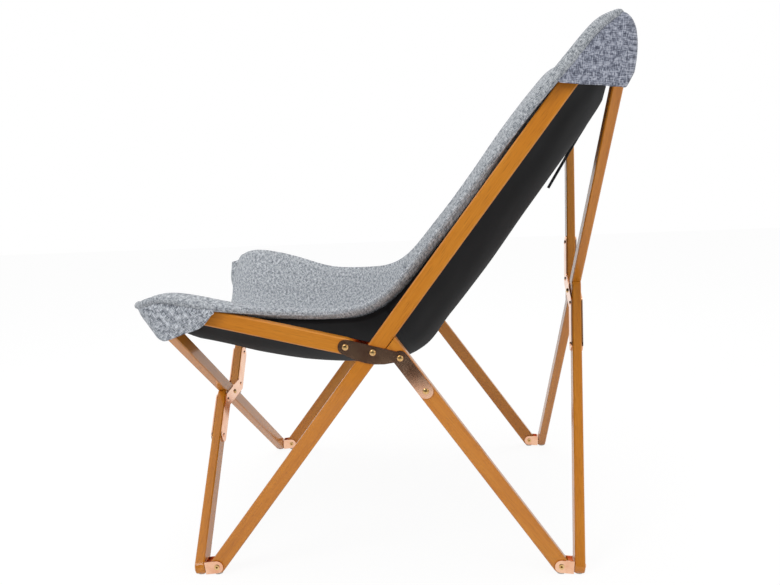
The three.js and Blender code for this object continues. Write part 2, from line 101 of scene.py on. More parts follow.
def aim_camera():
    forward = Vector(
        (
            -math.cos(camera_yaw) * math.cos(camera_pitch),
            -math.sin(camera_yaw) * math.cos(camera_pitch),
            -math.sin(camera_pitch),
        )
    )
    level = Vector((-math.sin(camera_yaw), math.cos(camera_yaw), 0))
    upward = level.cross(forward)
    right = level * math.cos(camera_roll) + upward * math.sin(camera_roll)
    top = upward * math.cos(camera_roll) - level * math.sin(camera_roll)
    turn = Matrix((right, top, -forward)).transposed().to_4x4()
    data = bpy.data.cameras.new("camera")
    data.sensor_width = sensor_width
    data.lens = focal_px / image_width_px * sensor_width
    data.clip_start = nearest_seen
    camera = bpy.data.objects.new("camera", data)
    camera.matrix_world = Matrix.Translation(camera_place) @ turn
    bpy.context.collection.objects.link(camera)
    bpy.context.scene.camera = camera


def tree_of(material):
    material.use_nodes = True
    tree = material.node_tree
    tree.nodes.clear()
    return tree


def add_node(tree, kind, **settings):
    node = tree.nodes.new(kind)
    for name, value in settings.items():
        if name in node.inputs and not hasattr(type(node), name):
            node.inputs[name].default_value = value
        else:
            setattr(node, name, value)
    return node


def make_piece(name, verts, faces, material, flats=None):
    mesh = bpy.data.meshes.new(name)
    mesh.from_pydata(verts, [], faces)
    if flats:
        layer = mesh.uv_layers.new(name="cut")
        for loop in mesh.loops:
            layer.data[loop.index].uv = flats[loop.vertex_index]
    mesh.shade_smooth()
    mesh.materials.append(material)
    piece = bpy.data.objects.new(name, mesh)
    bpy.context.collection.objects.link(piece)
    return piece


def lay_floor():
    reach = floor_size / 2
    edge = floor_near_edge
    corners = [(-reach, -reach, 0), (edge, -reach, 0), (edge, reach, 0), (-reach, reach, 0)]
    material = bpy.data.materials.new("studio_floor")
    tree = tree_of(material)
    matt = add_node(tree, "ShaderNodeBsdfDiffuse", Color=floor_gray)
    glow = add_node(tree, "ShaderNodeEmission", Color=background_white, Strength=floor_glow)
    path = add_node(tree, "ShaderNodeLightPath")
    either = add_node(tree, "ShaderNodeMath", operation="MAXIMUM")
    seen = add_node(tree, "ShaderNodeMath", operation="MULTIPLY")
    seen.inputs[1].default_value = floor_glow_share
    blend = add_node(tree, "ShaderNodeMixShader")
    out = add_node(tree, "ShaderNodeOutputMaterial")
    tree.links.new(path.outputs["Is Camera Ray"], either.inputs[0])
    tree.links.new(path.outputs["Is Glossy Ray"], either.inputs[1])
    tree.links.new(either.outputs[0], seen.inputs[0])
    tree.links.new(seen.outputs[0], blend.inputs[0])
    tree.links.new(matt.outputs[0], blend.inputs[1])
    tree.links.new(glow.outputs[0], blend.inputs[2])
    tree.links.new(blend.outputs[0], out.inputs["Surface"])
    make_piece("studio_floor", corners, [(0, 1, 2, 3)], material)


def light_studio():
    world = bpy.data.worlds.new("studio_world")
    bpy.context.scene.world = world
    tree = tree_of(world)
    path = add_node(tree, "ShaderNodeLightPath")
    place = add_node(tree, "ShaderNodeTexCoord")
    parts = add_node(tree, "ShaderNodeSeparateXYZ")
    dim_side = add_node(tree, "ShaderNodeMapRange")
    for name, value in mirror_fade.items():
        dim_side.inputs[name].default_value = value
    soft = add_node(tree, "ShaderNodeBackground", Color=background_white, Strength=room_light)
    plain = add_node(tree, "ShaderNodeBackground", Color=background_white, Strength=1.0)
    mirrored = add_node(tree, "ShaderNodeBackground", Strength=1.0)
    glossy = add_node(tree, "ShaderNodeMixShader")
    blend = add_node(tree, "ShaderNodeMixShader")
    out = add_node(tree, "ShaderNodeOutputWorld")
    tree.links.new(place.outputs["Generated"], parts.inputs[0])
    tree.links.new(parts.outputs["X"], dim_side.inputs["Value"])
    tree.links.new(dim_side.outputs["Result"], mirrored.inputs["Color"])
    tree.links.new(path.outputs["Is Glossy Ray"], glossy.inputs[0])
    tree.links.new(soft.outputs[0], glossy.inputs[1])
    tree.links.new(mirrored.outputs[0], glossy.inputs[2])
    tree.links.new(path.outputs["Is Camera Ray"], blend.inputs[0])
    tree.links.new(glossy.outputs[0], blend.inputs[1])
    tree.links.new(plain.outputs[0], blend.inputs[2])
    tree.links.new(blend.outputs[0], out.inputs["Surface"])
    for name, place_of_lamp, size, power in lamps:
        lamp = bpy.data.lights.new(name, "AREA")
        lamp.shape = "DISK"
        lamp.size = size
        lamp.energy = power
        holder = bpy.data.objects.new(name, lamp)
        holder.location = place_of_lamp
        holder.rotation_euler = (lamp_aim - holder.location).to_track_quat("-Z", "Y").to_euler()
        bpy.context.collection.objects.link(holder)


aim_camera()
lay_floor()
light_studio()
bpy.context.scene.view_settings.view_transform = "Standard"


# Sticks: planed hardwood, oiled and rubbed to a satin gloss, with its grain along each
# stick. The side sticks and the two crosses are carried over, each cut from its own board.
honey_light = "#C97C15"
honey_deep = "#BB7011"
honey_vein = "#A8621A"
honey_pale = "#D18926"
pore_brown = (0.35, 0.25, 0.18, 1)
no_tint = (1, 1, 1, 1)
board_shift = Vector((1.7, 0.31, 0.53))
figure_stretch = (1.6, 34, 34)
fibre_stretch = (14, 420, 420)
pore_stretch = (45, 900, 900)
vein_share = 0.12
pore_share = 0.3
wood_gloss = (0.34, 0.52)
wood_coat = 0.6
wood_coat_roughness = 0.12


def linear(hex_colour):
    channels = [int(hex_colour[i : i + 2], 16) / 255 for i in (1, 3, 5)]
    return tuple(c / 12.92 if c < 0.04045 else ((c + 0.055) / 1.055) ** 2.4 for c in channels) + (1,)


def centre_of(node):
    low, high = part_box(node)
    return (Vector(low) + Vector(high)) / 2


def ramp_of(tree, stops):
    ramp = add_node(tree, "ShaderNodeValToRGB").color_ramp
    for _ in range(len(stops) - 2):
        ramp.elements.new(0.5)
    for element, (at, colour) in zip(ramp.elements, stops):
        element.position = at
        element.color = colour
    return tree.nodes[-1]


def gloss_range(tree, ends):
    gloss = add_node(tree, "ShaderNodeMapRange")
    gloss.inputs["To Min"].default_value, gloss.inputs["To Max"].default_value = ends
    return gloss


def oiled_wood(name, way, board):
    material = bpy.data.materials.new(name)
    tree = tree_of(material)
    links = tree.links
    place = add_node(tree, "ShaderNodeTexCoord")
    turn = way.rotation_difference(Vector((1, 0, 0))).to_euler()
    lie = add_node(tree, "ShaderNodeMapping")
    lie.inputs["Rotation"].default_value = turn
    lie.inputs["Location"].default_value = board_shift * board
    stretched = add_node(tree, "ShaderNodeMapping")
    stretched.inputs["Scale"].default_value = figure_stretch
    figure = add_node(tree, "ShaderNodeTexNoise", Scale=1.0, Detail=5.0, Roughness=0.55, Distortion=0.6)
    drawn = add_node(tree, "ShaderNodeMapping")
    drawn.inputs["Scale"].default_value = fibre_stretch
    fibre = add_node(tree, "ShaderNodeTexNoise", Scale=1.0, Detail=3.0, Roughness=0.6)
    pores = add_node(tree, "ShaderNodeMapping")
    pores.inputs["Scale"].default_value = pore_stretch
    pore = add_node(tree, "ShaderNodeTexNoise", Scale=1.0, Detail=1.0)
    shades = ((0.3, linear(honey_deep)), (0.5, linear(honey_light)), (0.72, linear(honey_pale)))
    tone = ramp_of(tree, shades)
    vein = ramp_of(tree, ((0.36, linear(honey_vein)), (0.56, no_tint)))
    veined = add_node(tree, "ShaderNodeMix", data_type="RGBA", blend_type="MULTIPLY")
    veined.inputs["Factor"].default_value = vein_share
    pitted = ramp_of(tree, ((0.30, pore_brown), (0.42, no_tint)))
    dotted = add_node(tree, "ShaderNodeMix", data_type="RGBA", blend_type="MULTIPLY")
    dotted.inputs["Factor"].default_value = pore_share
    gloss = gloss_range(tree, wood_gloss)
    relief = add_node(tree, "ShaderNodeBump", Strength=0.12, Distance=0.0006)
    shader = add_node(tree, "ShaderNodeBsdfPrincipled")
    shader.inputs["Specular IOR Level"].default_value = 0.3
    shader.inputs["Coat Weight"].default_value = wood_coat
    shader.inputs["Coat Roughness"].default_value = wood_coat_roughness
    out = add_node(tree, "ShaderNodeOutputMaterial")
    links.new(place.outputs["Object"], lie.inputs[0])
    for mapping, texture in ((stretched, figure), (drawn, fibre), (pores, pore)):
        links.new(lie.outputs[0], mapping.inputs[0])
        links.new(mapping.outputs[0], texture.inputs["Vector"])
    links.new(figure.outputs["Fac"], tone.inputs[0])
    links.new(fibre.outputs["Fac"], vein.inputs[0])
    links.new(tone.outputs[0], veined.inputs[6])
    links.new(vein.outputs[0], veined.inputs[7])
    links.new(pore.outputs["Fac"], pitted.inputs[0])
    links.new(veined.outputs[2], dotted.inputs[6])
    links.new(pitted.outputs[0], dotted.inputs[7])
    links.new(dotted.outputs[2], shader.inputs["Base Color"])
    links.new(fibre.outputs["Fac"], gloss.inputs["Value"])
    links.new(gloss.outputs["Result"], shader.inputs["Roughness"])
    links.new(fibre.outputs["Fac"], relief.inputs["Height"])
    links.new(relief.outputs[0], shader.inputs["Normal"])
    links.new(shader.outputs[0], out.inputs["Surface"])
    return material


def finish_node(node, material):
    for slot in bpy.data.objects[node].material_slots:
        slot.material = material


board_count = 0
for side in ("near", "far"):
    spans = (
        (f"long_stick_{side}", f"clevis_pin_front_foot_{side}", f"clevis_pin_rear_top_{side}"),
        (f"rear_leg_{side}", f"clevis_pin_rear_foot_{side}", f"long_pivot_rivet_{side}"),
        (f"front_rail_{side}", f"rail_pivot_rivet_{side}", f"clevis_pin_front_top_{side}"),
    )
    for stick, lower_end, upper_end in spans:
        board_count += 1
        way = (centre_of(upper_end) - centre_of(lower_end)).normalized()
        finish_node(stick, oiled_wood(f"wood_{stick}", way, board_count))
cross_sticks = (("whole", "far", "near"), ("lower", "near", "far"), ("upper", "near", "far"))
for cross in ("rear", "front"):
    for stick, start, finish in cross_sticks:
        board_count += 1
        lower_end = centre_of(f"clevis_pin_{cross}_foot_{start}")
        upper_end = centre_of(f"clevis_pin_{cross}_top_{finish}")
        way = (upper_end - lower_end).normalized()
        name = f"{cross}_cross_stick_{stick}"
        finish_node(name, oiled_wood(f"wood_{name}", way, board_count))


# Plates and brackets: stamped and bent steel with a rose copper plating, lightly brushed.
# The plates, brackets and swivel studs are carried over with the plating on them.
copper_face = "#F3C4A4"
copper_deep = "#E3A886"
copper_clouds = 38.0
copper_gloss = (0.08, 0.16)
copper_brush = (900, 120, 900)
copper_scratch = 0.05
metal_relief = 0.0002


def worn_metal(name, tones, cloud_scale, gloss_ends, relief_strength, brush_scale=None):
    material = bpy.data.materials.new(name)
    tree = tree_of(material)
    links = tree.links
    place = add_node(tree, "ShaderNodeTexCoord")
    cloud = add_node(tree, "ShaderNodeTexNoise", Scale=cloud_scale, Detail=4.0, Roughness=0.6)
    tone = ramp_of(tree, tones)
    gloss = gloss_range(tree, gloss_ends)
    relief = add_node(tree, "ShaderNodeBump", Strength=relief_strength, Distance=metal_relief)
    shader = add_node(tree, "ShaderNodeBsdfPrincipled", Metallic=1.0)
    out = add_node(tree, "ShaderNodeOutputMaterial")
    links.new(place.outputs["Object"], cloud.inputs["Vector"])
    raised = cloud
    if brush_scale:
        brush = add_node(tree, "ShaderNodeMapping")
        brush.inputs["Scale"].default_value = brush_scale
        raised = add_node(tree, "ShaderNodeTexNoise", Scale=1.0, Detail=2.0)
        links.new(place.outputs["Object"], brush.inputs[0])
        links.new(brush.outputs[0], raised.inputs["Vector"])
    links.new(cloud.outputs["Fac"], tone.inputs[0])
    links.new(tone.outputs[0], shader.inputs["Base Color"])
    links.new(cloud.outputs["Fac"], gloss.inputs["Value"])
    links.new(gloss.outputs["Result"], shader.inputs["Roughness"])
    links.new(raised.outputs["Fac"], relief.inputs["Height"])
    links.new(relief.outputs[0], shader.inputs["Normal"])
    links.new(shader.outputs[0], out.inputs["Surface"])
    return material


copper_tones = ((0.3, linear(copper_deep)), (0.62, linear(copper_face)))
copper = worn_metal(
    "copper_plating", copper_tones, copper_clouds, copper_gloss, copper_scratch, copper_brush
)
corner_names = [
    f"{cross}_{end}_{side}"
    for cross in ("rear", "front")
    for end in ("foot", "top")
    for side in ("near", "far")
]
loose_studs = ("rear_top_near", "rear_top_far", "front_foot_near", "front_foot_far", "front_top_far")
for corner in corner_names:
    finish_node(f"clevis_{corner}", copper)
for corner in loose_studs:
    finish_node(f"swivel_stud_{corner}", copper)
for side in ("near", "far"):
    finish_node(f"side_plate_outer_{side}", copper)
    finish_node(f"side_plate_inner_{side}", copper)
for cross in ("rear", "front"):
    finish_node(f"{cross}_cross_plate_rear", copper)
    finish_node(f"{cross}_cross_plate_front", copper)


# Rivets and pins: turned from yellow brass and carried over. The pivot rivets and the side
# plates' two leg rivets get low round domes, and the cross plates' rivets keep plain heads.
brass_face = "#E6C48C"
brass_deep = "#C79A58"
brass_clouds = 160.0
brass_gloss = (0.2, 0.38)
brass_scratch = 0.06
dome_radius = 0.0059
dome_height = 0.0031
dome_rings = 6
dome_steps = 28


def dome_mesh(places):
    verts = []
    faces = []
    for place, way in places:
        turn = Vector((0, 0, 1)).rotation_difference(way)
        first = len(verts)
        for ring in range(dome_rings):
            angle = math.pi / 2 * ring / dome_rings
            radius = dome_radius * math.cos(angle)
            lift = dome_height * math.sin(angle)
            for step in range(dome_steps):
                around = 2 * math.pi * step / dome_steps
                spot = Vector((radius * math.cos(around), radius * math.sin(around), lift))
                verts.append(place + turn @ spot)
        verts.append(place + turn @ Vector((0, 0, dome_height)))
        verts.append(place)
        top, base = len(verts) - 2, len(verts) - 1
        for step in range(dome_steps):
            after = (step + 1) % dome_steps
            for ring in range(dome_rings - 1):
                low = first + ring * dome_steps
                high = low + dome_steps
                faces.append((low + step, low + after, high + after, high + step))
            last = first + (dome_rings - 1) * dome_steps
            faces.append((last + step, last + after, top))
            faces.append((first + after, first + step, base))
    return verts, faces


def add_domes(node, places, material):
    verts, faces = dome_mesh(places)
    piece = make_piece(f"domes_{node}", verts, faces, material)
    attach(piece, body_of(bpy.data.objects[node])[0])


brass_tones = ((0.32, linear(brass_deep)), (0.6, linear(brass_face)))
brass = worn_metal("turned_brass", brass_tones, brass_clouds, brass_gloss, brass_scratch)
stick_thickness = 0.019
fit_clearance = 0.0003
plate_thickness = 0.0025
plate_face = stick_thickness / 2 + fit_clearance + plate_thickness
leg_rivet_pitch = 0.076
for side, sense in (("near", 1), ("far", -1)):
    rail_rivet = centre_of(f"rail_pivot_rivet_{side}")
    long_rivet = centre_of(f"long_pivot_rivet_{side}")
    leg_rivet = long_rivet * 2 - rail_rivet
    leg_foot = centre_of(f"clevis_pin_rear_foot_{side}")
    lower_rivet = leg_rivet + (leg_foot - leg_rivet).normalized() * leg_rivet_pitch
    for node, spots, faces_of in (
        (f"rail_pivot_rivet_{side}", [rail_rivet], (1, -1)),
        (f"long_pivot_rivet_{side}", [long_rivet], (1, -1)),
        (f"side_plate_outer_{side}", [leg_rivet, lower_rivet], (sense,)),
        (f"side_plate_inner_{side}", [leg_rivet, lower_rivet], (-sense,)),
    ):
        ways = [Vector((way, 0, 0)) for way in faces_of]
        add_domes(node, [(spot + way * plate_face, way) for spot in spots for way in ways], brass)
for corner in corner_names:
    finish_node(f"clevis_pin_{corner}", brass)
for side in ("near", "far"):
    finish_node(f"long_pivot_rivet_{side}", brass)
    finish_node(f"rail_pivot_rivet_{side}", brass)
for cross in ("rear", "front"):
    finish_node(f"{cross}_cross_crossing_rivet", brass)


# Glides: pale discs moulded from plastic, with a fine grained face. One is carried over
# under each stick end that stands on the floor.
glide_gray = "#D9D9D4"
glide_shade = "#C6C6C1"
glide_grain = 900.0


def moulded_glide():
    material = bpy.data.materials.new("moulded_glide")
    tree = tree_of(material)
    links = tree.links
    place = add_node(tree, "ShaderNodeTexCoord")
    grain = add_node(tree, "ShaderNodeTexNoise", Scale=glide_grain, Detail=2.0)
    tone = ramp_of(tree, ((0.3, linear(glide_shade)), (0.7, linear(glide_gray))))
    relief = add_node(tree, "ShaderNodeBump", Strength=0.1, Distance=0.0002)
    shader = add_node(tree, "ShaderNodeBsdfPrincipled", Roughness=0.55)
    out = add_node(tree, "ShaderNodeOutputMaterial")
    links.new(place.outputs["Object"], grain.inputs["Vector"])
    links.new(grain.outputs["Fac"], tone.inputs[0])
    links.new(tone.outputs[0], shader.inputs["Base Color"])
    links.new(grain.outputs["Fac"], relief.inputs["Height"])
    links.new(relief.outputs[0], shader.inputs["Normal"])
    links.new(shader.outputs[0], out.inputs["Surface"])
    return material


glide_plastic = moulded_glide()
for end in ("side_rear", "side_front", "cross_rear", "cross_front"):
    for side in ("near", "far"):
        finish_node(f"glide_{end}_{side}", glide_plastic)


# Cover: a quilt of gray mottled cloth over a thin pad, hung from the four stick tips. It
# sags to a bowl between its edges, and each long edge is rolled over the pad's side.
side_plane = centre_of("front_rail_near").x
rail_pivot = centre_of("rail_pivot_rivet_near")
front_top = centre_of("clevis_pin_front_top_near")
long_pivot = centre_of("long_pivot_rivet_near")
rear_top = centre_of("clevis_pin_rear_top_near")
edge_inset = 0.033
cover_half_width = side_plane - edge_inset
cover_thickness = 0.015
# Stations of the cover's edge and of its middle: along the front rail, then along the long
# stick, each as shares of that stick's length from its pivot, with the height above it.
edge_shares = (
    ((1.262, -0.022), (1.126, 0.074), (0.766, 0.105), (0.429, 0.126), (0.15, 0.181)),
    (
        (0.08, 0.109), (0.151, 0.075), (0.324, 0.061), (0.543, 0.057),
        (0.761, 0.061), (0.949, 0.056), (1.069, 0.042), (1.118, 0.012),
    ),
)
middle_shares = (
    ((1.037, -0.309), (0.867, -0.323), (0.602, -0.327), (0.306, -0.315), (-0.004, -0.268)),
    (
        (-0.066, -0.092), (0.016, -0.129), (0.143, -0.134), (0.33, -0.137),
        (0.552, -0.132), (0.765, -0.129), (0.919, -0.122), (0.98, -0.115),
    ),
)


def flat_place(point):
    return Vector((point.y, point.z))


def stations_on(pivot, tip, shares, lift_side, unit=None, origin=None):
    way = (flat_place(tip) - flat_place(pivot)).normalized()
    lift = Vector((-way.y, way.x)) * lift_side
    size = unit or (flat_place(tip) - flat_place(pivot)).length
    start = flat_place(origin or pivot)
    return [start + way * onward * size + lift * above * size for onward, above in shares]


def smooth_curve(points):
    def at(progress):
        spot = min(max(progress, 0), 1) * (len(points) - 1)
        index = min(int(spot), len(points) - 2)
        share = spot - index
        first, last = points[index], points[index + 1]
        before = points[index - 1] if index else first * 2 - last
        after = points[index + 2] if index + 2 < len(points) else last * 2 - first
        pairs = ((before, first), (first, last), (last, after))
        gap_in, gap, gap_out = [(b - a).length ** 0.5 for a, b in pairs]
        along = (last - first) / gap
        leave = ((first - before) / gap_in - (last - before) / (gap_in + gap) + along) * gap
        arrive = (along - (after - first) / (gap + gap_out) + (after - last) / gap_out) * gap
        square = (last - first) * 3 - leave * 2 - arrive
        cube = (first - last) * 2 + leave + arrive
        return first + leave * share + square * share**2 + cube * share**3

    return at


def bowl_line(shares):
    on_rail = stations_on(rail_pivot, front_top, shares[0], -1)
    return smooth_curve(on_rail + stations_on(long_pivot, rear_top, shares[1], 1))


edge_line = bowl_line(edge_shares)
middle_line = bowl_line(middle_shares)
flare_reach = 0.059
flare_from_share = 0.7
front_flare_run = (0.06, 0.13, 0.28)
rear_flare_run = (0.62, 0.83, 0.984)
corner_retreat = 0.015
corner_run = 0.09


def ease(low, high, value):
    share = min(max((value - low) / (high - low), 0), 1)
    return share * share * (3 - 2 * share)


def rounding(gap, reach):
    share = min(max(gap / reach, 0), 1)
    return math.sqrt(1 - (1 - share) ** 2)


def flare_at(progress):
    round_to, full_to, gone_at = front_flare_run
    front = rounding(progress, round_to) * (1 - ease(full_to, gone_at, progress))
    start, full_from, round_from = rear_flare_run
    rear = rounding(1 - progress, 1 - round_from) * ease(start, full_from, progress)
    return front + rear


def bowl_top(share, progress):
    outward = max((abs(share) - flare_from_share) / (1 - flare_from_share), 0) ** 2
    flare = math.copysign(flare_reach * flare_at(progress) * outward, share)
    progress += corner_retreat * outward * max(1 - progress / corner_run, 0) ** 2
    spot = middle_line(progress).lerp(edge_line(progress), share**2)
    return Vector((share * cover_half_width + flare, spot.x, spot.y))


def bowl_at(share, progress, depth):
    step = 1e-3
    inward = min(max(share, step - 1), 1 - step)
    onward = min(max(progress, step), 1 - step)
    right = bowl_top(inward + step, onward) - bowl_top(inward - step, onward)
    back = bowl_top(inward, onward + step) - bowl_top(inward, onward - step)
    return bowl_top(share, progress) - right.cross(back).normalized() * depth


def thicken(piece, thickness):
    wall = piece.modifiers.new("wall", "SOLIDIFY")
    wall.thickness = thickness
    wall.offset = -1
    graph = bpy.context.evaluated_depsgraph_get()
    shaped = bpy.data.meshes.new_from_object(piece.evaluated_get(graph))
    piece.modifiers.clear()
    piece.data = shaped


cloth_tones = ("#646970", "#9CA1A7", "#CED1D5")
pocket_tones = ("#555A63", "#989DA5", "#D2D6DC")
# The rear pockets' tones are the same cloth made darker: painted shade for the rear pockets, which
# stand in less light.
painted_shade_tones = ("#4A4E5C", "#7F8493", "#B4B8C4")
thread_fine = 760
thread_long = 120
cloud_scale = 110
cloud_share = 0.25
tone_stops = (0.43, 0.5, 0.57)
quilt_fineness = 1.35
pocket_slant = {"front": 0.9, "rear": 0.1}


def mottled_cloth(name, slant, tones, fineness=1.0):
    material = bpy.data.materials.new(name)
    tree = tree_of(material)
    links = tree.links
    place = add_node(tree, "ShaderNodeUVMap", uv_map="cut")
    turned = add_node(tree, "ShaderNodeMapping")
    turned.inputs["Rotation"].default_value = (0, 0, slant)
    warp = add_node(tree, "ShaderNodeMapping")
    warp.inputs["Scale"].default_value = (thread_fine * fineness, thread_long * fineness, 1)
    weft = add_node(tree, "ShaderNodeMapping")
    weft.inputs["Scale"].default_value = (thread_long * fineness, thread_fine * fineness, 1)
    warp_slub = add_node(tree, "ShaderNodeTexNoise", Scale=1.0, Detail=2.0, Roughness=0.6)
    weft_slub = add_node(tree, "ShaderNodeTexNoise", Scale=1.0, Detail=2.0, Roughness=0.6)
    drift_scale = cloud_scale * fineness
    drift = add_node(tree, "ShaderNodeTexNoise", Scale=drift_scale, Detail=3.0, Roughness=0.55)
    crossed = add_node(tree, "ShaderNodeMix", data_type="FLOAT")
    crossed.inputs["Factor"].default_value = 0.5
    mottled = add_node(tree, "ShaderNodeMix", data_type="FLOAT")
    mottled.inputs["Factor"].default_value = cloud_share
    tone = ramp_of(tree, [(at, linear(colour)) for at, colour in zip(tone_stops, tones)])
    relief = add_node(tree, "ShaderNodeBump", Strength=0.35, Distance=0.0008)
    shader = add_node(tree, "ShaderNodeBsdfPrincipled", Roughness=0.92)
    shader.inputs["Sheen Weight"].default_value = 0.18
    shader.inputs["Sheen Roughness"].default_value = 0.5
    shader.inputs["Specular IOR Level"].default_value = 0.25
    out = add_node(tree, "ShaderNodeOutputMaterial")
    links.new(place.outputs[0], turned.inputs[0])
    for mapping, texture in ((warp, warp_slub), (weft, weft_slub)):
        links.new(turned.outputs[0], mapping.inputs[0])
        links.new(mapping.outputs[0], texture.inputs["Vector"])
    links.new(turned.outputs[0], drift.inputs["Vector"])
    links.new(warp_slub.outputs["Fac"], crossed.inputs[2])
    links.new(weft_slub.outputs["Fac"], crossed.inputs[3])
    links.new(crossed.outputs[0], mottled.inputs[2])
    links.new(drift.outputs["Fac"], mottled.inputs[3])
    links.new(mottled.outputs[0], tone.inputs[0])
    links.new(tone.outputs[0], shader.inputs["Base Color"])
    links.new(crossed.outputs[0], relief.inputs["Height"])
    links.new(relief.outputs[0], shader.inputs["Normal"])
    links.new(shader.outputs[0], out.inputs["Surface"])
    return material


cover_cloth = mottled_cloth("cover_cloth_straight", 0, cloth_tones, quilt_fineness)
pocket_cloth = {
    "front": mottled_cloth("cover_cloth_slanted", pocket_slant["front"], pocket_tones),
    # The rear pockets take the darker tones, which are painted shade.
    "rear": mottled_cloth("cover_cloth_painted_shade", pocket_slant["rear"], painted_shade_tones),
}
middle_columns = 20
side_columns = 20
cover_rows = 180
roll_radius = cover_thickness / 2
roll_steps = 12
cover_length = 1.42
stick_window = (0.925, 0.948)
window_depth = 0.008
underside_run = (0.8, 0.95)
hem_groove = 0.0013
edge_depths = (
    0.013, 0.014, 0.016, 0.017, 0.016, 0.011, 0.010,
    0.012, 0.015, 0.018, 0.023, 0.021, 0.014,
)
end_puff = 0.08
long_wave, long_wave_scale = 0.0032, (2.2, 5.5)
short_wave, short_wave_scale = 0.0012, 2.7
crown_rise = 0.008
horn_rise = 0.011
lifted_rise = 0.012
horn_run = (-0.02, 0.05, 0.13, 0.27)
crown_rises = (0.6, 0.88)
crown_falls = (0.92, 0.978)
lifted_span = (0.8, 0.97)
crease_at = 0.472
crease_width = 0.006
crease_depth = 0.004
crease_slant = 0.012
crease_span = (0.4, 0.75)
dimple_share = 0.9
dimple_width = 0.028
dimple_depth = 0.02
end_rows = (0, 0.0004, 0.0014, 0.0028, 0.0046, 0.0064)


def column_shares():
    flat_share = 1 - roll_radius / cover_half_width
    inner = [flare_from_share * i / middle_columns for i in range(middle_columns + 1)]
    run = flat_share - flare_from_share
    outer = [flare_from_share + run * i / side_columns for i in range(1, side_columns + 1)]
    half = inner + outer
    return [-share for share in reversed(half[1:])] + half


cover_columns = column_shares()


def soft_wave(share, progress):
    spot = Vector((share * long_wave_scale[0], progress * long_wave_scale[1], 0))
    wave = noise.noise(spot) * long_wave + noise.noise(spot * short_wave_scale) * short_wave
    side = abs(share)
    gap = (progress - crease_at - crease_slant * side) / crease_width
    crease = crease_depth * math.exp(-gap * gap) * ease(*crease_span, side)
    inward = (side - dimple_share) / dimple_width
    dimple = dimple_depth * math.exp(-gap * gap - inward * inward)
    return (wave + crease + dimple) * (1 - side**8)


def crown(share, progress):
    side = abs(share)
    start, full, going, gone = horn_run
    horn = ease(start, full, progress) * (1 - ease(going, gone, progress))
    inner = ease(*crown_rises, side) * (1 - ease(*crown_falls, side))
    lifted = lifted_rise * horn * ease(*lifted_span, -share)
    return (crown_rise + horn_rise * horn) * inner + lifted


def edge_depth(progress):
    spot = min(max(progress, 0), 1) * (len(edge_depths) - 1)
    index = min(int(spot), len(edge_depths) - 2)
    first, last = edge_depths[index : index + 2]
    return first + (last - first) * ease(0, 1, spot - index)


def under_depth(share, progress):
    side = abs(share)
    window = window_depth * ease(*stick_window, side) * flare_at(progress)
    edge = ease(*underside_run, side) * (edge_depth(progress) - cover_thickness)
    return cover_thickness + min(edge, 0) - window


def cover_rounds(progress):
    half = edge_depth(progress) / 2
    rounds = []
    for index in range(1, roll_steps):
        angle = math.pi * index / roll_steps
        sunk = hem_groove if index == roll_steps * 3 // 4 else 0
        reach = (roll_radius - sunk) / cover_half_width
        share = cover_columns[-1] + reach * math.sin(angle) ** 0.5
        rounds.append((share, half * (1 - math.cos(angle)), half * angle))
    return rounds


def make_cover():
    shares = cover_columns
    count = len(shares)
    flat_reach = shares[-1] * cover_half_width
    inner_rows = [i / cover_rows for i in range(1, cover_rows)]
    ends = [gap / cover_length for gap in end_rows]
    rows = ends + inner_rows + [1 - end for end in reversed(ends)]
    verts = []
    flats = []
    for progress in rows:
        end_gap = min(progress, 1 - progress) * cover_length
        puff = max(rounding(end_gap, roll_radius), end_puff)
        rounds = cover_rounds(progress)
        around = math.pi * edge_depth(progress) / 2
        section = [(share, -crown(share, progress), share * cover_half_width) for share in shares]
        section += [(share, depth, flat_reach + arc) for share, depth, arc in rounds]
        for share in reversed(shares):
            back_over = flat_reach + around + flat_reach - abs(share) * cover_half_width
            section.append((share, under_depth(share, progress), math.copysign(back_over, share)))
        lifted = crown(-1, progress)
        for share, depth, arc in reversed(rounds):
            raised = depth - lifted * (1 - depth / edge_depth(progress))
            section.append((-share, raised, -flat_reach - arc))
        for share, depth, over in section:
            level = roll_radius + (depth - roll_radius) * puff + soft_wave(share, progress)
            verts.append(bowl_at(share, progress, level))
            flats.append((over, progress * cover_length))
    around = len(section)
    faces = []
    for row in range(len(rows) - 1):
        for index in range(around):
            after = (index + 1) % around
            low, high = row * around, (row + 1) * around
            faces.append((low + index, low + after, high + after, high + index))
    last = (len(rows) - 1) * around
    for index in range(count - 1):
        back = 2 * count + roll_steps - 2 - index
        faces.append((index, back, back - 1, index + 1))
        faces.append((last + index, last + index + 1, last + back - 1, last + back))
    return make_piece("sling_quilt", verts, faces, cover_cloth, flats)


quilt = make_cover()
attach(quilt, "sling")
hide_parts("sling_cover")


# Pockets: a padded hood of the cover's cloth over each stick tip. The cover itself runs over
# the tip, and each piece here is the side panel that is sewn to its edge and hemmed below.
stick_width = 0.030
long_tip_length = 0.041
pocket_side = 0.014
pocket_wall = 0.0035
pocket_face = side_plane + stick_thickness / 2 + pocket_side
